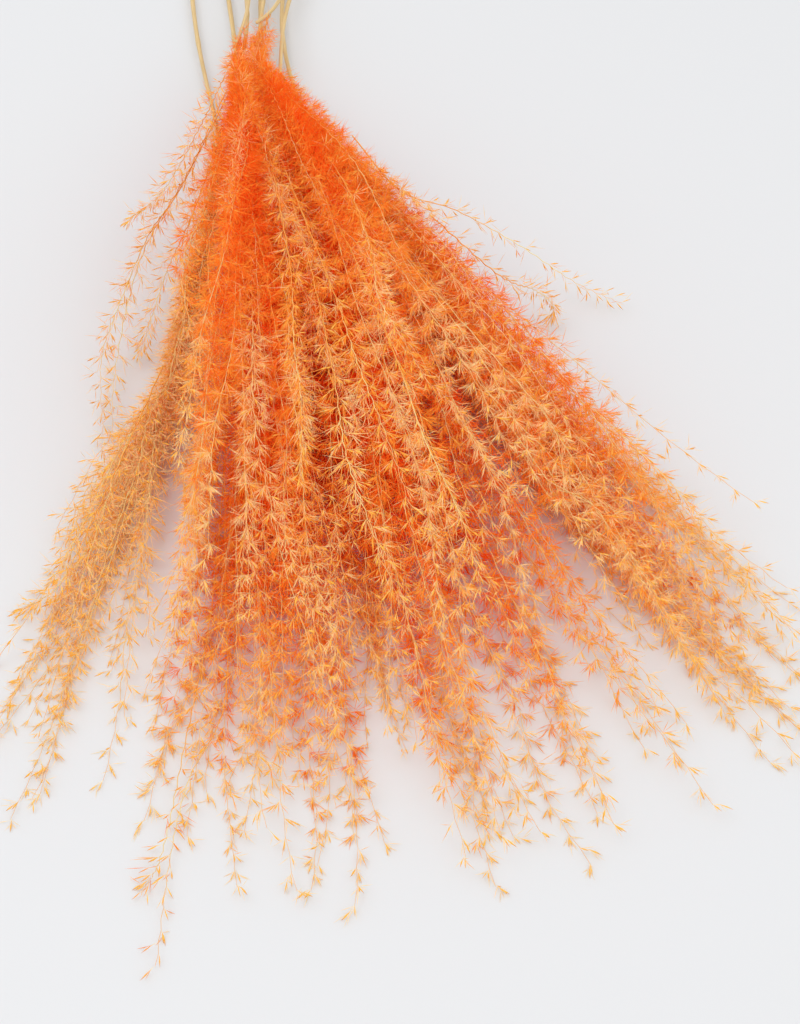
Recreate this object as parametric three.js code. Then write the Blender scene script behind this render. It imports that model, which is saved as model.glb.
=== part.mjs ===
// A bundle of dried silver grass, the fine-stranded grass sold as mini pampas, lying on a surface.
// Nine cut stalks run close together through a narrow throat. In front of the throat their
// plumes spread into one low fan, three layers deep. Behind it the bare stems come down to the
// surface and splay a little. Each stalk is two pieces: the plume and the stem that carries it.
//
// Millimetres, +Z up. +Y runs from the plume tips to the cut ends. Everything is laid out from
// the throat, then moved so that the origin is the middle of the underside of the whole bundle.
import * as THREE from "three";

// The fan that the plumes fill
const fanLength = 450; // throat to the tips in the middle of the fan
const fanHalfWidth = 178; // middle of the fan to its side, at the tips
const fanLean = 98; // how far the middle of the fan has drifted to +X at the tips
const fanFlare = 1.35; // 1 widens evenly, more keeps the throat narrow for longer
const tipRound = 0.18; // how much sooner the outermost plumes end, as a share of their reach
const throatHalfWidth = 16;

// The height of the pile above the surface
const throatHeight = 32;
const crownRise = 60; // extra height half way along the fan
const tipHeight = 14;

// The stems
const stemDiameter = 3;
const stemLength = 238; // throat to the cut ends
const pinchDistance = 60; // throat to the place behind it where the stems run closest
const jointGap = 0.3; // a stem's end face to its plume

// Spaces that keep one plume off the next
const laneGap = 1.2;
const layerGap = 1.2;

// Facets
const plumeSides = 16;
const plumeRings = 14;
const stemSides = 8;
const stemSteps = 12;

// Each layer's floor and roof, as shares of the pile's height
const layers = {
  lower: { floor: 0, roof: 0.36 },
  middle: { floor: 0.36, roof: 0.69 },
  upper: { floor: 0.69, roof: 1 },
};

// One row for each stalk. lane: its plume's sides, from -1 at the fan's left to 1 at its right.
// start: the throat to the plume's base. past: how far its tip lies past fanLength, or short of
// it if negative. pinch and cut: how far the stem lies to the side of the throat at the pinch
// and at its cut end. trim: how much shorter or longer than stemLength it is cut.
const stalks = [
  { layer: "lower", lane: [-1, -0.7], start: 60, past: 2, pinch: -34, cut: -58, trim: 4 },
  { layer: "lower", lane: [-0.7, -0.05], start: 66, past: 18, pinch: -13, cut: -42, trim: -7 },
  { layer: "lower", lane: [-0.05, 0.6], start: 62, past: 2, pinch: 3, cut: -4, trim: 9 },
  { layer: "lower", lane: [0.66, 1.04], start: 70, past: -2, pinch: 15, cut: 20, trim: -3 },
  { layer: "middle", lane: [-0.7, -0.06], start: 12, past: -20, pinch: -4, cut: -30, trim: -12 },
  { layer: "middle", lane: [-0.06, 0.58], start: 8, past: -12, pinch: 4, cut: 8, trim: 0 },
  { layer: "middle", lane: [0.64, 1.02], start: 16, past: -18, pinch: 18, cut: 44, trim: 7 },
  { layer: "upper", lane: [-0.62, -0.04], start: -14, past: -58, pinch: -3, cut: -18, trim: 2 },
  { layer: "upper", lane: [-0.04, 0.54], start: -32, past: -65, pinch: 13, cut: 30, trim: -9 },
];

const straw = { color: 0xd9bd82, roughness: 0.6, metalness: 0 };
const dyedPlume = { color: 0xd97a42, roughness: 0.9, metalness: 0 };

// A place in the fan. across runs from -1 to 1 between its sides, reach is the distance from
// the throat along the fan, and height is above the surface.
function fanPoint(across, reach, height) {
  const share = Math.max(reach, 0) / fanLength;
  const halfWidth = throatHalfWidth + (fanHalfWidth - throatHalfWidth) * share ** fanFlare;
  const x = fanLean * share + across * halfWidth;
  const y = -reach * (1 - tipRound * across ** 2);
  return new THREE.Vector3(x, y, height);
}

// The top of the pile at a reach: a straight fall from the throat to the tips, and a rise
// like half a sine wave on top of it.
function pileHeight(reach) {
  const share = THREE.MathUtils.clamp(reach / fanLength, 0, 1);
  const fall = THREE.MathUtils.lerp(throatHeight, tipHeight, share);
  return fall + crownRise * Math.sin(Math.PI * share);
}

// How much of its lane a plume fills, from 0 to 1: half at its base, all of it from a quarter
// of the way along, and a round end over the last fifth.
function fullness(share) {
  const swell = 0.5 + 0.5 * THREE.MathUtils.smoothstep(share, 0, 0.25);
  const tip = Math.max(0, (share - 0.8) / 0.2);
  return swell * Math.sqrt(Math.max(0.04, 1 - tip ** 2));
}

// The floor and roof of a stalk's layer at a reach. The lowest plumes lie on the surface.
function layerBand(stalk, reach) {
  const { floor, roof } = layers[stalk.layer];
  const height = pileHeight(reach);
  const lift = floor > 0 ? layerGap / 2 : 0;
  return [floor * height + lift, roof * height - layerGap / 2];
}

// The middle of a plume's section at its base, where the stem meets it.
function plumeBase(stalk) {
  const [floor, roof] = layerBand(stalk, stalk.start);
  const middle = floor > 0 ? (floor + roof) / 2 : (roof * fullness(0)) / 2;
  return fanPoint((stalk.lane[0] + stalk.lane[1]) / 2, stalk.start, middle);
}

// A plume is a ball whose poles become its base and its tip. Each ring of the ball is stretched
// to the width and height of the lane there. In the lowest layer the ring's underside is flat.
function plume(stalk) {
  const ball = new THREE.SphereGeometry(1, plumeSides, plumeRings);
  const place = ball.getAttribute("position");
  const flatBelow = 0.7;
  const middle = (stalk.lane[0] + stalk.lane[1]) / 2;
  for (let i = 0; i < place.count; i += 1) {
    const radius = Math.hypot(place.getX(i), place.getZ(i));
    const side = radius < 1e-6 ? 0 : place.getX(i) / radius;
    const up = radius < 1e-6 ? 0 : place.getZ(i) / radius;
    const share = (1 - place.getY(i)) / 2;
    const reach = THREE.MathUtils.lerp(stalk.start, fanLength + stalk.past, share);
    const full = fullness(share);
    const [floor, roof] = layerBand(stalk, reach);
    const left = fanPoint(stalk.lane[0], reach, 0).x + laneGap / 2;
    const right = fanPoint(stalk.lane[1], reach, 0).x - laneGap / 2;
    const point = fanPoint(middle + (side * full * (stalk.lane[1] - stalk.lane[0])) / 2, reach, 0);
    point.x = (left + right) / 2 + (side * full * (right - left)) / 2;
    if (floor > 0) point.z = (floor + roof) / 2 + (up * full * (roof - floor)) / 2;
    else point.z = (roof * full * (Math.max(up, -flatBelow) + flatBelow)) / (1 + flatBelow);
    place.setXYZ(i, point.x, point.y, point.z);
  }
  return ball;
}

// A stem is a round rod on one smooth curve: from its cut end, level on the surface, through
// the pinch, to just short of its plume.
function stem(stalk) {
  const radius = stemDiameter / 2;
  const base = plumeBase(stalk);
  const length = stemLength + stalk.trim;
  const pinchHeight = THREE.MathUtils.lerp(base.z, radius, pinchDistance / length);
  const pinch = new THREE.Vector3(stalk.pinch, pinchDistance, pinchHeight);
  const cut = new THREE.Vector3(stalk.cut, length, radius);
  const inward = pinch.clone().sub(base).setLength(jointGap);
  const line = new THREE.CatmullRomCurve3([cut, pinch, base.clone().add(inward)]);
  const section = new THREE.Shape().absarc(0, 0, radius, 0, 2 * Math.PI);
  return new THREE.ExtrudeGeometry(section, {
    steps: stemSteps,
    curveSegments: stemSides / 2, // three.js draws a full circle with twice this many sides
    extrudePath: line,
  });
}

const bundle = new THREE.Group();
stalks.forEach((stalk, index) => {
  const number = String(index + 1).padStart(2, "0");
  const plumeMesh = new THREE.Mesh(plume(stalk), new THREE.MeshStandardMaterial(dyedPlume));
  plumeMesh.name = `plume_${number}`;
  const stemMesh = new THREE.Mesh(stem(stalk), new THREE.MeshStandardMaterial(straw));
  stemMesh.name = `stem_${number}`;
  bundle.add(plumeMesh, stemMesh);
});

// The origin goes to the middle of the bundle's underside.
const extent = new THREE.Box3().setFromObject(bundle);
const centre = extent.getCenter(new THREE.Vector3());
bundle.position.set(-centre.x, -centre.y, -extent.min.z);

const group = new THREE.Group();
group.add(bundle);
export default group;
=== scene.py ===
"""A bundle of dyed, dried silver grass plumes on bare straw stems, lying on a pale surface."""

import bpy
import numpy as np
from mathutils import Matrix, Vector


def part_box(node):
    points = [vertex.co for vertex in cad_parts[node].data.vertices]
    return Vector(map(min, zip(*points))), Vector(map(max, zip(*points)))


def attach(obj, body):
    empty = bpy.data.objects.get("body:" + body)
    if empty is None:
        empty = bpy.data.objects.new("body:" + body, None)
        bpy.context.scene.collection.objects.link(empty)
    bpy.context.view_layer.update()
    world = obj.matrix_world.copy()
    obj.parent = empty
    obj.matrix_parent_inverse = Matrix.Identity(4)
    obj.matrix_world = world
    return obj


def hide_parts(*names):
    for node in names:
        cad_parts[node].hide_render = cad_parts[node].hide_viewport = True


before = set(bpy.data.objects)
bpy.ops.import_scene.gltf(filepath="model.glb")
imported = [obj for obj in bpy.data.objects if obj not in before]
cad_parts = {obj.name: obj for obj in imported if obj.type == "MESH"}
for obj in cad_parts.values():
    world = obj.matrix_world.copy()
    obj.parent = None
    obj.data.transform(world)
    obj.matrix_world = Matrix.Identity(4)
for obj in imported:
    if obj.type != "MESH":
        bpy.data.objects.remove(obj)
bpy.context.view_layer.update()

bl_info = {
    "name": "Dried Grass Bundle",
    "version": (1, 0, 0),
    "blender": (4, 5, 0),
    "location": "View3D > Sidebar > Grass",
    "description": "Grows the plumes and stems of a bundle of dried grass around its frame",
    "category": "Object",
}

BODY = "root"
PLUME_NODES = [f"plume_{n:02d}" for n in range(1, 10)]
STEM_NODES = [f"stem_{n:02d}" for n in range(1, 10)]
PALETTE = "OFBake"  # the UV map whose u is a part's tone and whose v is how far along it a point is
GRAIN = "grain"  # the stems' attribute: where each point would be on a straight stem
SAMPLES = 48  # points along each strand

# Where each kind of part sits on the palette, from its root to its tip, and its material's place.
BANDS = {"hair": (0.02, 0.30), "spikelet": (0.36, 0.64), "strand": (0.70, 0.98)}
BAND_SLOTS = {"hair": 0, "spikelet": 1, "strand": 2}
SLANT = 0.004  # how far a face's corners step aside on the palette

# Each plume, in the order of the stems. lane and layer are its sides and its floor and roof, as
# shares of the fan and of the pile. back is how much of its stem it clothes. strands is how many
# it has, and short is the reach of its shortest strand as a share of its longest. tone runs from
# deep red to pale gold, fluff scales its hairs, and past stretches it beyond its plain solid.
PLUME_COLUMNS = ("lane", "layer", "back", "strands", "short", "tone", "fluff", "past")
PLUMES = [dict(zip(PLUME_COLUMNS, row)) for row in (
    ((-0.955, -0.765), (0.00, 0.36), 0.062, 38, 0.62, 1.30, 0.46, 1.06),
    ((-0.60, -0.05), (0.00, 0.36), 0.045, 42, 0.68, 0.32, 0.95, 1.0),
    ((-0.05, 0.56), (0.00, 0.36), 0.045, 42, 0.68, 0.32, 0.95, 1.0),
    ((0.68, 0.96), (0.00, 0.36), 0.050, 40, 0.66, 0.50, 0.88, 1.0),
    ((-0.64, -0.06), (0.28, 0.69), 0.030, 42, 0.58, 0.25, 1.0, 1.0),
    ((-0.06, 0.58), (0.28, 0.69), 0.030, 42, 0.58, 0.25, 1.0, 1.0),
    ((0.60, 0.93), (0.28, 0.69), 0.026, 40, 0.58, 0.46, 0.92, 1.0),
    ((-0.66, -0.04), (0.60, 1.0), 0.024, 23, 0.42, 0.38, 1.75, 1.0),
    ((-0.04, 0.72), (0.60, 1.0), 0.022, 23, 0.42, 0.38, 1.75, 1.0),
)]

THROAT_INSET = (0.0095, 0.247)  # from a stem's far side and a cut end to the throat's middle

# How far across the left and right sides of the fan are at some reaches in metres, and the shares
# of the fan that the left, middle and right plumes keep to at their tips, with gaps between them.
FAN_LEFT = ((0.0, 0.20, 0.26, 0.31, 0.36), (-0.92, -0.84, -0.80, -0.92, -1.0))
FAN_RIGHT = ((0.0, 0.15, 0.25, 0.36), (0.92, 0.86, 0.90, 0.96))
TIP_LANES = ((-1.0, -0.71), (-0.61, 0.57), (0.70, 1.0))
PARTING = (0.24, 0.09)  # the reach where strands turn into those shares, and the reach it takes
HEART = (0.19, 0.09, 0.55)  # the gaps given painted shade, deep red: their reach, half their length and their half width
HEART_SHADE = 0.62  # how much redder painted shade makes the lowest strands there
GOLD_TIPS = 0.85  # how much paler a strand's tip is than its root
TONE_SPREAD = (0.13, -0.13, 0.40)  # how strands' tones vary, and the least and most they may
DROOP = 0.012  # the most that a strand's tip hangs below its course
CURL = 0.010  # how far a strand's tip strays to the side
LOWEST = 0.0012  # the least height of a strand's middle
WAVES = (0.7, 1.5, 2.9)  # the waves of a strand's wander, along its length
# A spikelet's angle from its strand in degrees: its least, what is added where the plume is full
# and for the far one of a pair, and how it varies.
OPENING = (24, 26, 14, 9)
SWING = 0.55  # how spikelets vary in their turn round the strand, in radians

# Strands that stray from the mass or lie on top of it: the number of their plume, their tone,
# their fluff and their course, in millimetres to the side of the throat, in front of it and up.
WISPS = (
    (8, 0.80, 0.45, ((-6, 40, 44), (-12, 92, 54), (-29, 121, 38), (-48, 128, 24))),
    (8, 0.85, 0.35,
     ((-4, 50, 40), (-21, 127, 42), (-34, 149, 34), (-46, 186, 22), (-52, 208, 12), (-48, 244, 4))),
    (8, 0.90, 0.30, ((-2, 60, 40), (-13, 142, 42), (-24, 168, 30), (-32, 191, 16), (-37, 200, 6))),
    (8, 0.85, 0.35, ((-4, 56, 46), (-17, 118, 46), (-38, 156, 26), (-46, 214, 8), (-41, 262, 3))),
    (7, 0.80, 0.15,
     ((60, 108, 58), (82, 131, 45), (108, 133, 35), (138, 145, 24), (164, 157, 12), (186, 164, 5))),
    (7, 0.85, 0.20, ((96, 150, 46), (127, 172, 30), (144, 171, 20), (153, 173, 12), (152, 177, 7))),
    (9, 0.80, 1.10,
     ((26, 60, 40), (56, 150, 68), (70, 210, 81), (73, 236, 79), (82, 254, 74), (94, 272, 64))),
    (8, 0.76, 1.00,
     ((4, 60, 40), (7, 140, 62), (7, 200, 68), (5, 249, 61), (5, 280, 53), (4, 307, 40))),
    (9, 0.78, 1.00,
     ((14, 70, 40), (28, 160, 70), (38, 225, 80), (41, 264, 79), (45, 294, 77), (45, 320, 66))),
    (9, 0.76, 1.00,
     ((18, 80, 42), (38, 170, 70), (56, 238, 80), (66, 275, 79), (77, 308, 75), (88, 336, 58))),
    (9, 0.84, 0.60,
     ((30, 100, 45), (60, 200, 74), (80, 270, 79), (91, 308, 74), (104, 333, 60), (113, 356, 42))),
    (9, 0.82, 0.80,
     ((22, 100, 45), (42, 200, 74), (56, 275, 79), (62, 316, 76), (71, 340, 64), (82, 363, 46))),
    (2, 0.62, 0.04,
     ((2, 190, 14), (12, 320, 10), (16, 380, 6), (5, 412, 4), (1, 443, 3), (0, 480, 2))),
    (2, 0.60, 0.06, ((6, 200, 12), (8, 330, 8), (2, 400, 4), (-2, 440, 3), (-8, 455, 2))),
    (1, 0.95, 0.10, ((-20, 230, 30), (-38, 290, 20), (-52, 326, 10), (-61, 334, 6), (-69, 337, 4))),
)


def length(name, about, default):
    """A length property in metres."""
    return bpy.props.FloatProperty(
        name=name, description=about, default=default, unit="LENGTH", precision=5
    )


def number(name, about, default):
    """A plain number property."""
    return bpy.props.FloatProperty(name=name, description=about, default=default, precision=3)


def colour(name, about, default):
    """A colour property, in linear light."""
    return bpy.props.FloatVectorProperty(
        name=name, description=about, default=default, size=3, subtype="COLOR"
    )


class GrassFan(bpy.types.PropertyGroup):
    """The fan that the plumes fill, as the frame has it."""

    reach: length("Reach", "Throat to the tips in the middle of the fan", 0.450)
    half_width: length("Half width", "Middle of the fan to its side, at the tips", 0.178)
    lean: length("Lean", "How far the fan has drifted to one side at its tips", 0.098)
    flare: number("Flare", "1 widens evenly, more keeps the throat narrow for longer", 1.35)
    tip_round: number("Tip round", "How much sooner the outermost plumes end", 0.18)
    throat_half_width: length("Throat half width", "Half the width where the plumes begin", 0.016)
    throat_height: length("Throat height", "Height of the pile where the plumes begin", 0.032)
    crown_rise: length("Crown rise", "Extra height half way along the fan", 0.060)
    tip_height: length("Tip height", "Height of the pile at the tips", 0.014)


class GrassStrand(bpy.types.PropertyGroup):
    """One strand of a plume, with its spikelets and hairs."""

    axis: length("Plume axis", "Length of the stalk's end that carries the strands", 0.150)
    longest: length("Longest", "Length of a long strand", 0.300)
    radius: length("Strand radius", "Radius of a strand at its root", 0.00036)
    zigzag: length("Zigzag", "How far a strand steps aside at each pair of spikelets", 0.0003)
    spikelet: length("Spikelet length", "Length of a spikelet's body", 0.0047)
    spikelet_width: length("Spikelet width", "Width of a spikelet's body", 0.00082)
    short_stalk: length("Short stalk", "Stalk of the near spikelet of a pair", 0.0010)
    long_stalk: length("Long stalk", "Stalk of the far spikelet of a pair", 0.0030)
    stalk_radius: length("Stalk radius", "Radius of a spikelet's stalk", 0.00013)
    hair: length("Hair length", "Length of the silky hairs", 0.0080)
    hair_width: length("Hair width", "Width of a tuft of hairs at its widest", 0.00024)
    hairs: number("Hairs", "Tufts of hairs on each spikelet where a plume is full", 10.6)
    wander: length("Wander", "How far a strand wanders from its course", 0.0045)


class GrassStem(bpy.types.PropertyGroup):
    """The bare stems."""

    radius: length("Radius", "Radius at the cut end", 0.00150)
    taper: length("Taper", "How much thinner a stem is where its plume begins", 0.0006)
    joint: length("Joint", "How far a joint swells", 0.00022)
    ripple: length("Ripple", "How far the surface ripples along a stem", 0.00003)
    bore: length("Bore", "Radius of the hollow in the cut end", 0.00085)
    bore_end: length("Bore end", "Radius of the bottom of the hollow", 0.0006)
    bore_depth: length("Bore depth", "Depth of the hollow in the cut end", 0.0025)


class GrassColours(bpy.types.PropertyGroup):
    """The dyed plumes and the straw. The deep colours stand both for the reddest dye and for
    painted shade low in the pile, and the pale ones both for the palest dye and for painted light
    high in it.
    """

    # Deep red dye, and painted shade where it is given to hairs low in the pile.
    hair_deep_and_shade: colour("Deep hair", "Hairs deep in the pile", (0.985, 0.045, 0.002))
    hair_mid: colour("Hair", "Hairs in the middle of the range", (0.99, 0.22, 0.018))
    hair_pale: colour("Pale hair", "Hairs of the palest strands", (1.0, 0.52, 0.07))
    hair_cream: colour("Cream hair", "Hairs of the driest strands", (1.0, 0.92, 0.46))
    hair_glow: colour("Glow", "Light that comes through the hairs", (1.0, 0.30, 0.03))
    # Deep orange dye, and painted shade where it is given to spikelets low in the pile.
    body_deep_and_shade: colour("Deep spikelet", "Spikelets deep in the pile", (0.985, 0.20, 0.012))
    body_pale: colour("Pale spikelet", "Spikelets of the palest strands", (1.0, 0.62, 0.10))
    rust: colour("Rust", "The dark ends of the spikelets", (0.64, 0.16, 0.025))
    # Deep orange dye, and painted shade where it is given to strands low in the pile and near their
    # roots.
    strand_deep_and_shade: colour("Deep strand", "Strands deep in the pile", (1.0, 0.45, 0.08))
    strand_pale: colour("Pale strand", "The palest strands", (1.0, 0.86, 0.38))
    straw: colour("Straw", "The bare stems", (0.72, 0.52, 0.24))
    straw_dark: colour("Dark straw", "Streaks and patches of the stems", (0.40, 0.24, 0.09))


class GrassStage(bpy.types.PropertyGroup):
    """The surface, the light and the camera."""

    floor: length("Floor", "Width of the pale floor", 40.0)
    floor_shade: number("Floor shade", "How light the floor is", 0.72)
    sky: number("Sky", "Strength of the light from all round", 0.98)
    key: number("Key light", "Power of the large soft lamp in watts", 5.0)
    distance: length("Camera distance", "Camera to the point it looks at", 0.600)
    elevation: bpy.props.FloatProperty(
        name="Elevation", description="How steeply the camera looks down",
        default=np.radians(52), subtype="ANGLE",
    )
    lens: number("Lens", "Focal length in millimetres", 50.0)
    aside: length("Aim aside", "The camera's aim, to the side of the throat", 0.082)
    ahead: length("Aim ahead", "The camera's aim, in front of the throat", 0.285)


# ------------------------------------------------------------------ the fan


def throat():
    """The middle of the place where the plumes begin, on the floor: a set way in from the far side
    of one stem of the middle layer and from the cut end of the longest stem."""
    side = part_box(STEM_NODES[5])[1][0] - THROAT_INSET[0]
    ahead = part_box(STEM_NODES[2])[1][1] - THROAT_INSET[1]
    return np.array([side, ahead, 0.0])


def pile_height(fan, reach):
    """A straight fall from the throat to the tips plus half a sine wave's rise."""
    share = np.clip(reach / fan.reach, 0.0, 1.0)
    straight = fan.throat_height + (fan.tip_height - fan.throat_height) * share
    return straight + fan.crown_rise * np.sin(np.pi * share)


def fan_place(fan, across, reach, height):
    """Places of points given by their share of the way across the fan, their distance from the
    throat and their height: x = lean * share + across * half width, and
    y = -reach * (1 - round * across^2)."""
    share = np.maximum(reach, 0.0) / fan.reach
    half = fan.throat_half_width + (fan.half_width - fan.throat_half_width) * share**fan.flare
    x = fan.lean * share + across * half
    y = -reach * (1.0 - fan.tip_round * np.clip(across, -1.2, 1.2) ** 2)
    return np.stack([x, y, height], axis=-1) + throat()


# ------------------------------------------------------------- shape helpers


def unit(vectors):
    """Vectors divided by their lengths."""
    return vectors / np.maximum(np.linalg.norm(vectors, axis=-1, keepdims=True), 1e-12)


def side_frame(along):
    """Two unit vectors at right angles to each vector: its cross product with the upright, or with
    +X where it is nearly upright, and the cross product of the two."""
    upright = np.abs(along[..., 2:]) > 0.95
    guide = np.where(upright, [1.0, 0.0, 0.0], [0.0, 0.0, 1.0])
    first = unit(np.cross(along, guide))
    return first, np.cross(along, first)


def settled(height, skin=0.0016):
    """Heights kept off the floor: one above skin stays, and one below it becomes
    skin * exp(height / skin - 1), which is never quite zero."""
    return np.where(height > skin, height, skin * np.exp(np.minimum(height / skin - 1.0, 0.0)))


def eased(value, limit, ease=0.06):
    """Values kept below a limit: from ease below it on, what is over goes as tanh(over / ease)."""
    over = np.maximum(value - limit + ease, 0.0)
    return value - over + ease * np.tanh(over / ease)


def through(points, count):
    """A smooth curve through points, as count places along it: on each span, the cubic whose slope
    at a point is half the step from the point before to the point after."""
    knots = np.asarray(points, dtype=float)
    padded = np.concatenate([[2 * knots[0] - knots[1]], knots, [2 * knots[-1] - knots[-2]]])
    at = np.linspace(0.0, len(knots) - 1.0, count)
    span = np.minimum(at.astype(int), len(knots) - 2)
    t = (at - span)[:, None]
    a, b, c, d = (padded[span + k] for k in range(4))
    return b + 0.5 * t * ((c - a) + t * ((2 * a - 5 * b + 4 * c - d) + t * (3 * (b - c) + d - a)))


def many(one, size, count):
    """The faces of count like solids whose vertices follow one another."""
    return (one + size * np.arange(count)[:, None, None]).reshape(-1, 3)


def palette_of(tone, slant, along, band):
    """Palette coordinates: u is the tone plus a hair's breadth for each corner, so that no face is
    without width, and v is the share of the way along the band."""
    low, high = BANDS[band]
    u = np.clip(tone, 0.015, 0.985) + slant
    v = low + (high - low) * along
    return np.stack([u, np.broadcast_to(v, u.shape)], axis=-1)


def spindles(root, rings, first, second, tip, sides):
    """Closed spindles: a root point, rings of corners and a tip point. A ring's corner is its
    centre + first * cos(turn) + second * sin(turn). Returns all their places and faces."""
    count, steps = rings.shape[:2]
    turn = (2 * np.pi * np.arange(sides) / sides)[:, None]
    corners = rings[:, :, None] + first[:, :, None] * np.cos(turn)
    corners = corners + second[:, :, None] * np.sin(turn)
    places = np.concatenate([root[:, None], corners.reshape(count, -1, 3), tip[:, None]], axis=1)
    j = np.arange(sides)
    k = (j + 1) % sides
    last = 1 + steps * sides
    base = 1 + sides * np.arange(steps - 1)[:, None]
    root_fan = np.stack([np.zeros_like(j), 1 + k, 1 + j], axis=-1)
    tip_fan = np.stack([last - sides + j, last - sides + k, np.full_like(j, last)], axis=-1)
    lower = np.stack([base + j, base + k, base + sides + k], axis=-1).reshape(-1, 3)
    upper = np.stack([base + j, base + sides + k, base + sides + j], axis=-1).reshape(-1, 3)
    one = np.concatenate([root_fan, lower, upper, tip_fan])
    return places.reshape(-1, 3), many(one, last + 1, count)


def spindle_palette(tone, along, sides, band):
    """The palette coordinates of spindles, from the tone at each spindle's root, rings and tip. A
    ring's corners step aside by SLANT * cos(turn), turned a little so that no two are equal."""
    turn = 2 * np.pi * np.arange(sides) / sides
    steps = len(along)
    slant = np.concatenate([[0.0], np.tile(SLANT * np.cos(turn + 0.35), steps), [0.0]])
    shares = np.concatenate([[0.0], np.repeat(along, sides), [1.0]])
    middle = np.repeat(tone[:, 1:-1], sides, axis=1)
    tones = np.concatenate([tone[:, :1], middle, tone[:, -1:]], axis=1)
    return palette_of(tones, slant, shares, band).reshape(-1, 2)


def slivers(root, tip, side, lift):
    """Closed slivers with four faces: the straight edge from root to tip and, half way, an edge
    across it that is 2 * side long and stands off by lift."""
    middle = (root + tip) / 2 + lift
    places = np.stack([root, middle + side, middle - side, tip], axis=1)
    one = np.array([(0, 2, 1), (3, 1, 2), (0, 1, 3), (0, 3, 2)])
    return places.reshape(-1, 3), many(one, 4, len(root))


def piece_from(name, parts, materials):
    """One mesh object from parts, all smooth but for the hairs and spikelets, whose few faces are
    flat. A plume's part has places, faces, palette coordinates and the name of its band. A stem's
    part has places, faces and its grain coordinates."""
    offsets = np.cumsum([0] + [len(part[0]) for part in parts[:-1]])
    places = np.concatenate([part[0] for part in parts])
    places[:, 2] = settled(places[:, 2])
    faces = np.concatenate([part[1] + offset for part, offset in zip(parts, offsets)])
    faces = faces.astype(np.int32)
    extra = np.concatenate([part[2] for part in parts]).astype(np.float32)
    mesh = bpy.data.meshes.new(name)
    mesh.vertices.add(len(places))
    mesh.vertices.foreach_set("co", places.astype(np.float32).ravel())
    mesh.loops.add(faces.size)
    mesh.loops.foreach_set("vertex_index", faces.ravel())
    mesh.polygons.add(len(faces))
    mesh.polygons.foreach_set("loop_start", np.arange(0, faces.size, 3, dtype=np.int32))
    for material in materials:
        mesh.materials.append(material)
    if extra.shape[1] == 2:
        slots = np.repeat([BAND_SLOTS[part[3]] for part in parts], [len(part[1]) for part in parts])
        mesh.polygons.foreach_set("material_index", slots.astype(np.int32))
        mesh.uv_layers.new(name=PALETTE).data.foreach_set("uv", extra[faces.ravel()].ravel())
    else:
        grain = mesh.attributes.new(GRAIN, "FLOAT_VECTOR", "POINT")
        grain.data.foreach_set("vector", extra.ravel())
    mesh.update(calc_edges=True)
    mesh.validate()
    mesh.shade_smooth()
    if extra.shape[1] == 2:
        mesh.polygons.foreach_set("use_smooth", slots == BAND_SLOTS["strand"])
    piece = bpy.data.objects.new(name, mesh)
    bpy.context.collection.objects.link(piece)
    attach(piece, BODY)
    return piece


# ------------------------------------------------------------------ strands


def stem_course(node, count):
    """The centre line of a plain stem, from its cut end to the plume: the means of its rings of
    eight corners, in order of distance from the cut end, and a smooth curve through them."""
    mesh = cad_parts[node].data
    places = np.empty(3 * len(mesh.vertices))
    mesh.vertices.foreach_get("co", places)
    corners = np.unique(places.reshape(-1, 3).round(6), axis=0)
    corners = corners[np.argsort(-corners[:, 1])]
    return through(corners.reshape(-1, 8, 3).mean(axis=1), count)


def before_end(course, distance):
    """Places on a course at distances back from its end, by straight lines between its points."""
    steps = np.linalg.norm(np.diff(course[::-1], axis=0), axis=-1)
    run = np.concatenate([[0.0], np.cumsum(steps)])
    return np.stack([np.interp(distance, run, course[::-1, k]) for k in range(3)], axis=-1)


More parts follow.
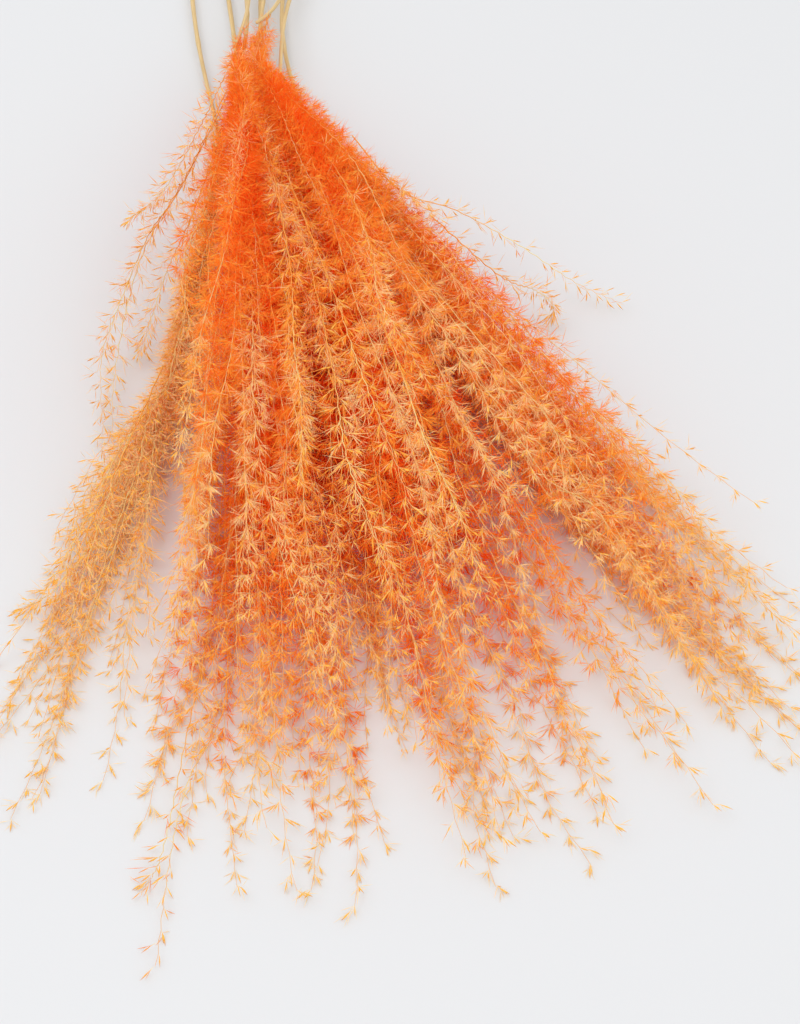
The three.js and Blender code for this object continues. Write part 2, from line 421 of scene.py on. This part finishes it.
def strand_courses(fan, strand, number, rng):
    """The courses of a plume's strands, their tones and their fluff. Each leaves the plume's axis,
    which is the end of its stem and goes on into the fan. share runs from 0 to 1 along it. Reach
    is even in share, across eases as 1 - (1 - share)^1.8, height eases as share^0.6 and then
    droops as share^4, and sines of 1 to 3 waves add a wander that grows from the root. What is
    left between the axis and the course's start fades as (1 - share)^3."""
    plume, node = PLUMES[number], PLUME_NODES[number]
    low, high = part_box(node)
    start = throat()[1] - high[1]
    count = plume["strands"]
    share = (np.linspace(0.0, 1.0, SAMPLES) ** 1.12)[None]
    middle, half = sum(plume["lane"]) / 2, (plume["lane"][1] - plume["lane"][0]) / 2
    floor, roof = plume["layer"]
    longest = plume["past"] * (throat()[1] - low[1]) / (1.0 - fan.tip_round * min(middle**2, 1.0))

    spread = rng.permutation(np.linspace(-1.0, 1.0, count)) + rng.normal(0, 0.06, count)
    ranks = rng.permutation(np.linspace(0, 1, count))
    ends = plume["short"] + (1.0 - plume["short"]) * ranks**0.8
    reach_end = longest * ends
    order = np.argsort(np.argsort(ends + rng.normal(0, 0.3 * (1 - plume["short"]), count)))
    leave = start - plume["back"] + (plume["back"] + strand.axis) * order / (count - 1)
    leave = np.maximum(leave, reach_end - strand.longest * rng.uniform(0.9, 1.1, count))
    wide = 1.0 + 0.45 * (1.0 - ends) / (1.0 - plume["short"])
    lift = rng.uniform(0.0, 1.0, count) * (1.0 - 0.45 * np.clip(spread, -1, 1) ** 2)

    reach = leave[:, None] + (reach_end - leave)[:, None] * share
    across = middle + (half * spread * wide)[:, None] * (1 - (1 - share) ** 1.8)
    left, right = np.interp(reach, *FAN_LEFT), np.interp(reach, *FAN_RIGHT)
    tip_lane = TIP_LANES[1 + round(middle)]
    parting = np.clip((reach - PARTING[0]) / PARTING[1], 0, 1)
    left += parting * np.maximum(tip_lane[0] - left, 0.0)
    right += parting * np.minimum(tip_lane[1] - right, 0.0)
    across = -eased(-eased(across, right), -left)
    centre = (floor + roof) / 2
    level = centre + ((floor - centre) + (roof - floor) * lift)[:, None] * share**0.6
    pile = pile_height(fan, reach)
    height = 0.98 * level * pile - rng.uniform(0.0, DROOP, count)[:, None] * share**4
    points = fan_place(fan, across, reach, height)
    axis = fan_place(fan, np.full(count, middle), leave, centre * pile[:, 0])
    on_stem = before_end(stem_course(STEM_NODES[number], 60), np.maximum(start - leave, 0.0))
    root = np.where((leave < start)[:, None], on_stem, axis)
    points += (root - points[:, 0])[:, None] * ((1 - share) ** 3)[..., None]
    calm = 1.0 - 0.5 * abs(middle)
    for direction, size in ((0, calm), (2, 0.6)):
        for waves in WAVES:
            phase = rng.uniform(0, 2 * np.pi, (count, 1))
            swing = rng.normal(0, strand.wander * size / waves, (count, 1))
            points[..., direction] += swing * share**0.8 * np.sin(2 * np.pi * waves * share + phase)
    points[..., 0] += rng.normal(0, CURL, (count, 1)) * share**4
    points[..., 2] = np.maximum(points[..., 2], LOWEST)

    # Painted shade and light: strands are redder low in the pile, redder still in the gaps of its
    # heart where shade falls, and paler high in it, but never deep red at the sides. They are also
    # paler at the tips and at the throat.
    high_up = np.clip(points[..., 2] / np.maximum(pile, 0.02), 0, 1)
    # Painted shade and light: the tone falls low in the pile and rises high in it.
    tone = plume["tone"] - 0.06 + 0.60 * (high_up - 0.5) * (1 - share**2) * (1 - 0.6 * across**2)
    tone += GOLD_TIPS * share**2.4 + 0.25 * np.clip(1.0 - reach / 0.06, 0, 1)
    # Painted shade: the lowest strands in the gaps of the heart are made redder.
    heart_shade_mask = np.exp(-((across / HEART[2]) ** 2) - ((reach - HEART[0]) / HEART[1]) ** 2)
    tone -= HEART_SHADE * (1 - high_up) * heart_shade_mask
    tone = np.maximum(tone, 0.60 * np.clip(np.abs(across) / 0.6, 0, 1) ** 2)
    vary, least, most = TONE_SPREAD
    tone = tone + np.clip(rng.normal(0, vary, (count, 1)), least, most)
    fluff = plume["fluff"] * rng.uniform(0.8, 1.2, count)

    for owner, wisp_tone, wisp_fluff, knots in WISPS:
        if owner == number + 1:
            course = throat() + through(knots, SAMPLES) * (0.001, -0.001, 0.001)
            points = np.concatenate([points, course[None]])
            tone = np.concatenate([tone, np.full((1, SAMPLES), wisp_tone)])
            fluff = np.append(fluff, wisp_fluff)
    return points, tone, fluff


def grow_plume(name, number, points, tones, fluff, sizes, rng, materials):
    """One plume: its strands as thin rods that zigzag, a pair of spikelets at each corner on
    alternate sides, and tufts of silky hairs that spring from each spikelet's foot. full, which
    scales the hairs and opens the spikelets, rises evenly over the first tenth of a strand and
    falls over its last two fifths as 1 - 0.72 * share^1.4. A spikelet's body is two rings between
    its foot and its tip; the first is the end of its stalk."""
    count = len(points)
    along = unit(np.gradient(points, axis=1))
    first, second = side_frame(along)
    share = np.linspace(0.0, 1.0, SAMPLES)
    twist = rng.uniform(0, 2 * np.pi, (count, 1)) + 1.8 * share
    outward = first * np.cos(twist)[..., None] + second * np.sin(twist)[..., None]
    outward *= np.where(np.arange(SAMPLES) % 2, 1.0, -1.0)[:, None]
    corners = points + sizes.zigzag * outward * (share > 0.03)[:, None]
    radius = (sizes.radius * (1.0 - 0.72 * share))[:, None]
    rods = spindles(
        corners[:, 0] - 0.001 * along[:, 0], corners, first * radius, second * radius,
        corners[:, -1] + 0.001 * along[:, -1], 3,
    )
    # Painted shade: a strand's tone is deepened towards its root, where it lies buried in the pile.
    root_shade_tones = tones * (0.15 + 0.85 * np.clip((share - 0.35) / 0.35, 0, 1))
    rod_tones = np.concatenate([root_shade_tones[:, :1], root_shade_tones, root_shade_tones[:, -1:]], axis=1)
    rod_palette = spindle_palette(rod_tones, 0.02 + 0.96 * share, 3, "strand")

    # A near and a far spikelet at each corner, but for the first few and some that have dropped.
    chance = 0.5 + 0.46 * np.clip(fluff / 0.4, 0, 1)
    keep = (rng.uniform(size=(count, SAMPLES, 2)) < chance[:, None, None]) & (share > 0.05)[:, None]
    owner, place, far = np.nonzero(keep)
    amount = len(owner)
    foot, forward, out = corners[owner, place], along[owner, place], outward[owner, place]
    at = share[place]
    other = np.cross(forward, out)
    swing = rng.normal(0, SWING, (amount, 1))
    out = out * np.cos(swing) + other * np.sin(swing)
    rise, fall = np.clip((at - 0.02) / 0.10, 0, 1), np.clip((at - 0.60) / 0.40, 0, 1)
    full = rise * (1.0 - 0.72 * fall**1.4)
    opening = OPENING[0] + OPENING[1] * full + OPENING[2] * far + rng.normal(0, OPENING[3], amount)
    opening = np.radians(opening)[:, None]
    lean = forward * np.cos(opening) + out * np.sin(opening)
    stalk = np.where(far, sizes.long_stalk, sizes.short_stalk)[:, None]
    stalk = stalk * rng.uniform(0.7, 1.3, (amount, 1))
    size = sizes.spikelet * rng.uniform(0.82, 1.12, (amount, 1)) * (1 - 0.12 * at[:, None])
    bend = unit(lean + 0.20 * forward + rng.normal(0, 0.13, (amount, 3)))
    neck = foot + stalk * lean
    flat, thick = side_frame(bend)
    turn = rng.uniform(0, np.pi, (amount, 1))
    wide = flat * np.cos(turn) + thick * np.sin(turn)
    deep = thick * np.cos(turn) - flat * np.sin(turn)
    half = sizes.spikelet_width / 2 * rng.uniform(0.8, 1.2, (amount, 1))
    rings = np.stack([neck, neck + 0.45 * size * bend], axis=1)
    stalk_half = np.full_like(half, sizes.stalk_radius)
    widths = np.stack([stalk_half, half], axis=1)
    depths = np.stack([stalk_half, 0.62 * half], axis=1)
    tone = tones[owner, place] + rng.normal(0, 0.09, amount)
    seeds = spindles(
        foot, rings, wide[:, None] * widths, deep[:, None] * depths, neck + size * bend, 3
    )
    seed_tones = np.repeat(tone[:, None], 4, axis=1)
    seed_palette = spindle_palette(seed_tones, np.array([0.25, 0.62]), 3, "spikelet")

    # The hairs, as many on each spikelet as its place asks for.
    wanted = sizes.hairs * fluff[owner] * full + 0.5
    seat = np.repeat(np.arange(amount), (wanted + rng.uniform(size=amount)).astype(int))
    hairs = len(seat)
    around = rng.uniform(0, 2 * np.pi, (hairs, 1))
    splay = np.radians(rng.uniform(15, 90, (hairs, 1)))
    sideways = flat[seat] * np.cos(around) + thick[seat] * np.sin(around)
    heading = bend[seat] * np.cos(splay) + sideways * np.sin(splay)
    heading = unit(heading + 0.25 * forward[seat] + rng.normal(0, 0.1, (hairs, 3)))
    long = sizes.hair * rng.uniform(0.55, 1.25, (hairs, 1)) * (0.6 + 0.4 * full[seat][:, None])
    root = neck[seat] - 0.0003 * bend[seat]
    across, lift = side_frame(heading)
    half_hair = sizes.hair_width / 2
    tufts = slivers(root, root + long * heading, across * half_hair, lift * half_hair)
    hair_tone = tone[seat] + 0.12 * at[seat] + rng.normal(0, 0.08, hairs)
    slant, shares = np.array([0.0, SLANT, -SLANT, 0.0]), np.array([0.0, 0.5, 0.5, 1.0])
    hair_palette = palette_of(hair_tone[:, None], slant, shares, "hair").reshape(-1, 2)

    parts = [
        (*rods, rod_palette, "strand"),
        (*seeds, seed_palette, "spikelet"),
        (*tufts, hair_palette, "hair"),
    ]
    piece = piece_from(name, parts, materials)
    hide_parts(PLUME_NODES[number])


# -------------------------------------------------------------------- stems


def grow_stems(sizes, material):
    """Nine round stems along the plain stems' courses. The profile starts at the bottom of the
    hollow of the cut end, comes up its wall, over the rim and along the outside, where two joints
    swell as bells, and closes inside the plume."""
    steps, sides = 90, 12
    parts = []
    for number, node in enumerate(STEM_NODES):
        rng = np.random.default_rng(300 + number)
        course = stem_course(node, steps)
        along = unit(np.gradient(course, axis=0))
        run = np.concatenate([[0.0], np.cumsum(np.linalg.norm(np.diff(course, axis=0), axis=-1))])
        radius = sizes.radius - sizes.taper * (run / run[-1]) ** 1.5
        for joint in (rng.uniform(0.18, 0.34), rng.uniform(0.58, 0.72)):
            radius += sizes.joint * np.exp(-(((run / run[-1] - joint) * 70) ** 2))
        radius += sizes.ripple * np.sin(run * 160 + rng.uniform(0, 6))
        inner = course[0] + sizes.bore_depth * along[0], course[0] + 0.0004 * along[0], course[0]
        rings = np.concatenate([np.stack(inner), course])
        rim = [sizes.bore_end, sizes.bore, radius[0] * 0.94]
        radii = np.concatenate([rim, radius])[:, None]
        ways = np.concatenate([np.repeat(along[:1], 3, axis=0), along])
        first, second = side_frame(ways)
        places, faces = spindles(
            (inner[0] + 0.0001 * along[0])[None], rings[None], (first * radii)[None],
            (second * radii)[None], (course[-1] + 0.0008 * along[-1])[None], sides,
        )
        turn = 2 * np.pi * np.arange(sides) / sides
        distance = np.concatenate([[sizes.bore_depth, 0.0004, 0.0], run]) + 0.3 * number
        grain = np.stack([
            np.outer(radii[:, 0], np.cos(turn)), np.repeat(distance[:, None], sides, axis=1),
            np.outer(radii[:, 0], np.sin(turn)),
        ], axis=-1).reshape(-1, 3)
        ends = np.array([[0.0, distance[0], 0.0]]), np.array([[0.0, distance[-1], 0.0]])
        parts.append((places, faces, np.concatenate([ends[0], grain, ends[1]])))
    piece = piece_from("grass_stems", parts, [material])
    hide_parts(*STEM_NODES)


# ---------------------------------------------------------------- materials


class Wire:
    """A socket that Python's + - * work on by adding Math nodes."""

    def __init__(self, nodes, socket):
        self.nodes = nodes
        self.socket = socket

    def math(self, operation, left, right):
        """A Math node on two values or sockets."""
        return self.nodes.add("Math", {"operation": operation}, {0: left, 1: right})

    def __add__(self, other):
        return self.math("ADD", self, other)

    __radd__ = __add__

    def __sub__(self, other):
        return self.math("SUBTRACT", self, other)

    def __rsub__(self, other):
        return self.math("SUBTRACT", other, self)

    def __mul__(self, other):
        return self.math("MULTIPLY", self, other)

    __rmul__ = __mul__

    def between(self, low, high):
        """0 below low and 1 above high, smooth in between."""
        return self.nodes.add(
            "MapRange", {"interpolation_type": "SMOOTHSTEP"},
            {"Value": self, "From Min": low, "From Max": high},
        )


class Nodes:
    """A material's node tree, to which add() adds nodes one at a time."""

    def __init__(self, name):
        self.material = bpy.data.materials.new(name)
        self.material.use_nodes = True
        self.tree = self.material.node_tree
        self.tree.nodes.clear()

    def add(self, kind, settings, inputs, output=0):
        """A node of a kind, with its settings made first and then its inputs set or linked."""
        node = self.tree.nodes.new("ShaderNode" + kind)
        for key, value in settings.items():
            setattr(node, key, value)
        for key, value in inputs.items():
            if isinstance(value, Wire):
                self.tree.links.new(value.socket, node.inputs[key])
            else:
                node.inputs[key].default_value = value
        return Wire(self, node.outputs[output])

    def mix(self, factor, first, second):
        """A colour part of the way from first to second."""
        pair = [c if isinstance(c, Wire) else (*c, 1.0) for c in (first, second)]
        return self.add(
            "Mix", {"data_type": "RGBA"}, {0: factor, 6: pair[0], 7: pair[1]}, output=2
        )

    def finish(self, surface):
        """Links the surface to the material's output and returns the material."""
        output = self.tree.nodes.new("ShaderNodeOutputMaterial")
        self.tree.links.new(surface.socket, output.inputs["Surface"])
        return self.material


def palette_parts(nodes, band):
    """The palette's tone, and how far from root to tip of its band a point is."""
    uv = nodes.add("UVMap", {"uv_map": PALETTE}, {})
    tone = nodes.add("SeparateXYZ", {}, {0: uv})
    height = Wire(nodes, tone.socket.node.outputs[1])
    low, high = BANDS[band]
    return tone, (height - low) * (1.0 / (high - low))


def soft_shader(nodes, base, through, share, roughness, gloss):
    """A rough surface mixed with a share of light that comes through from behind."""
    inputs = {"Base Color": base, "Roughness": roughness, "Specular IOR Level": gloss}
    surface = nodes.add("BsdfPrincipled", {}, inputs)
    behind = nodes.add("BsdfTranslucent", {}, {"Color": (*through, 1.0)})
    return nodes.add("MixShader", {}, {0: share, 1: surface, 2: behind})


def hair_material(colours):
    """Hairs: deep red to orange, gold and cream by tone, paler towards their ends."""
    nodes = Nodes("plume hair")
    tone, along = palette_parts(nodes, "hair")
    low = nodes.mix(tone.between(0.05, 0.45), colours.hair_deep_and_shade, colours.hair_mid)
    middle = nodes.mix(tone.between(0.42, 0.85), low, colours.hair_pale)
    body = nodes.mix(tone.between(0.84, 0.98), middle, colours.hair_cream)
    base = nodes.mix(along.between(0.2, 1.1) * 0.15, body, colours.hair_pale)
    rough = 0.5 + 0.2 * along
    return nodes.finish(soft_shader(nodes, base, colours.hair_glow, 0.25, rough, 0.05))


def spikelet_material(colours):
    """Spikelets: a pale stalk, an orange to golden body and a rust end."""
    nodes = Nodes("spikelet")
    tone, along = palette_parts(nodes, "spikelet")
    body = nodes.mix(tone.between(0.1, 0.8), colours.body_deep_and_shade, colours.body_pale)
    stalk = nodes.mix(along.between(0.12, 0.30), colours.strand_pale, body)
    base = nodes.mix(along.between(0.62, 1.0) * 0.75, stalk, colours.rust)
    rough = 0.38 + 0.25 * along
    return nodes.finish(soft_shader(nodes, base, colours.body_pale, 0.15, rough, 0.25))


def strand_material(colours):
    """Strands: orange deep in the pile, which is painted shade, cream on top, partly painted light,
    and redder towards the tip.
    """
    nodes = Nodes("strand")
    tone, along = palette_parts(nodes, "strand")
    body = nodes.mix(tone.between(0.15, 0.65), colours.strand_deep_and_shade, colours.strand_pale)
    base = nodes.mix(along.between(0.6, 1.0) * 0.5, body, colours.body_deep_and_shade)
    rough = 0.36 + 0.2 * along
    return nodes.finish(soft_shader(nodes, base, colours.strand_pale, 0.10, rough, 0.25))


def straw_material(colours):
    """Bare stems: fine streaks along the stem over broader, darker patches."""
    nodes = Nodes("straw")
    place = nodes.add("Attribute", {"attribute_name": GRAIN}, {}, output=1)
    stretched = nodes.add("Mapping", {}, {0: place, "Scale": (2600.0, 40.0, 2600.0)})
    fine = {"Vector": stretched, "Scale": 1.0, "Detail": 3.0, "Roughness": 0.6}
    streak = nodes.add("TexNoise", {}, fine)
    patch = nodes.add("TexNoise", {}, {"Vector": place, "Scale": 28.0, "Detail": 2.0})
    darkness = streak.between(0.42, 0.72) * 0.5 + patch.between(0.5, 0.8) * 0.3
    base = nodes.mix(darkness, colours.straw, colours.straw_dark)
    rough = 0.42 + 0.25 * streak
    bump = nodes.add("Bump", {}, {"Height": streak, "Strength": 0.25, "Distance": 0.0001})
    inputs = {"Base Color": base, "Roughness": rough, "Normal": bump}
    return nodes.finish(nodes.add("BsdfPrincipled", {}, inputs))


# ---------------------------------------------------------------- operators


class GRASS_OT_plumes(bpy.types.Operator):
    """Grow the nine plumes, each in the place of its plain solid."""

    bl_idname = "grass.plumes"
    bl_label = "Plumes"

    def execute(self, context):
        scene = context.scene
        fan, sizes, colours = scene.grass_fan, scene.grass_strand, scene.grass_colours
        materials = [hair_material(colours), spikelet_material(colours), strand_material(colours)]
        for number, node in enumerate(PLUME_NODES):
            rng = np.random.default_rng(100 + number)
            points, tones, fluff = strand_courses(fan, sizes, number, rng)
            grow_plume("grass_" + node, number, points, tones, fluff, sizes, rng, materials)
        return {"FINISHED"}


class GRASS_OT_stems(bpy.types.Operator):
    """Grow the nine bare stems, with joints and hollow cut ends."""

    bl_idname = "grass.stems"
    bl_label = "Stems"

    def execute(self, context):
        grow_stems(context.scene.grass_stem, straw_material(context.scene.grass_colours))
        return {"FINISHED"}


class GRASS_OT_stage(bpy.types.Operator):
    """Lay the pale floor, hang the soft lamps and set the camera."""

    bl_idname = "grass.stage"
    bl_label = "Stage"

    def execute(self, context):
        stage = context.scene.grass_stage
        lay_floor(stage)
        hang_lamps(stage)
        set_camera(stage)
        return {"FINISHED"}


FLOOR_TINT = (0.97, 0.99, 1.02)  # multiplies the floor's shade
SKY_TINT = (1.0, 0.99, 0.98)  # the colour of the light from all round
# Each lamp's place, its share of the key light's power, and its width, in metres.
LAMPS = {
    "key": ((-0.60, -0.20, 1.4), 1.0, 1.2),
    "fill": ((0.9, -0.7, 1.2), 0.5, 1.4),
}
LAMP_AIM = (0.0, -0.15, 0.0)
BOUNCES = 24  # enough for light to find its way out between the hairs


def lay_floor(stage):
    """A square floor, and the same pale light all round."""
    half = stage.floor / 2
    mesh = bpy.data.meshes.new("floor")
    corners = [(-half, -half, 0), (half, -half, 0), (half, half, 0), (-half, half, 0)]
    mesh.from_pydata(corners, [], [(0, 1, 2, 3)])
    nodes = Nodes("floor")
    base = (*(stage.floor_shade * part for part in FLOOR_TINT), 1.0)
    surface = nodes.add("BsdfPrincipled", {}, {"Base Color": base, "Roughness": 0.6})
    mesh.materials.append(nodes.finish(surface))
    floor = bpy.data.objects.new("floor", mesh)
    bpy.context.collection.objects.link(floor)
    world = bpy.data.worlds.new("sky")
    world.use_nodes = True
    background = world.node_tree.nodes["Background"]
    background.inputs["Color"].default_value = (*SKY_TINT, 1.0)
    background.inputs["Strength"].default_value = stage.sky
    bpy.context.scene.world = world


def hang_lamps(stage):
    """A large soft lamp up on the left and a weaker one on the right."""
    for name, (place, power, width) in LAMPS.items():
        lamp = bpy.data.lights.new(name, "AREA")
        lamp.energy = stage.key * power
        lamp.size = width
        holder = bpy.data.objects.new(name, lamp)
        holder.location = place
        holder.rotation_euler = look_from(np.array(place), np.array(LAMP_AIM))
        bpy.context.collection.objects.link(holder)


def look_from(place, target):
    """The turn that points an object's -Z from place to target with +Y up."""
    return Vector(target - place).to_track_quat("-Z", "Y").to_euler()


def set_camera(stage):
    """The camera looks along +Y and down, at a point in front of the throat."""
    aim = throat() + np.array([stage.aside, -stage.ahead, 0.0])
    back = stage.distance * np.array([0.0, -np.cos(stage.elevation), np.sin(stage.elevation)])
    camera = bpy.data.cameras.new("camera")
    camera.lens = stage.lens
    camera.sensor_width = 36.0
    camera.clip_start = 0.01
    holder = bpy.data.objects.new("camera", camera)
    holder.location = aim + back
    holder.rotation_euler = look_from(aim + back, aim)
    bpy.context.collection.objects.link(holder)
    bpy.context.scene.camera = holder
    bpy.context.scene.view_settings.view_transform = "Standard"
    bpy.context.scene.cycles.max_bounces = BOUNCES
    bpy.context.scene.cycles.diffuse_bounces = BOUNCES
    bpy.context.scene.cycles.transmission_bounces = BOUNCES


class GRASS_PT_panel(bpy.types.Panel):
    """Lists the bundle's sizes, colours and steps."""

    bl_idname = "GRASS_PT_panel"
    bl_label = "Dried Grass Bundle"
    bl_space_type = "VIEW_3D"
    bl_region_type = "UI"
    bl_category = "Grass"

    def draw(self, context):
        for name in GROUPS:
            group = getattr(context.scene, name)
            box = self.layout.box()
            for key in group.__annotations__:
                box.prop(group, key)
        for operator in OPERATORS:
            self.layout.operator(operator.bl_idname)


GROUPS = {
    "grass_fan": GrassFan,
    "grass_strand": GrassStrand,
    "grass_stem": GrassStem,
    "grass_colours": GrassColours,
    "grass_stage": GrassStage,
}
OPERATORS = (GRASS_OT_plumes, GRASS_OT_stems, GRASS_OT_stage)


def register():
    """Registers the classes and gives the scene its property groups."""
    for group in GROUPS.values():
        bpy.utils.register_class(group)
    for name, group in GROUPS.items():
        setattr(bpy.types.Scene, name, bpy.props.PointerProperty(type=group))
    for operator in OPERATORS:
        bpy.utils.register_class(operator)
    bpy.utils.register_class(GRASS_PT_panel)


def unregister():
    """Takes away what register added."""
    bpy.utils.unregister_class(GRASS_PT_panel)
    for operator in reversed(OPERATORS):
        bpy.utils.unregister_class(operator)
    for name, group in GROUPS.items():
        delattr(bpy.types.Scene, name)
        bpy.utils.unregister_class(group)


def main():
    """Builds the bundle and its stage."""
    register()
    bpy.ops.grass.plumes()
    bpy.ops.grass.stems()
    bpy.ops.grass.stage()


if __name__ == "__main__":
    main()
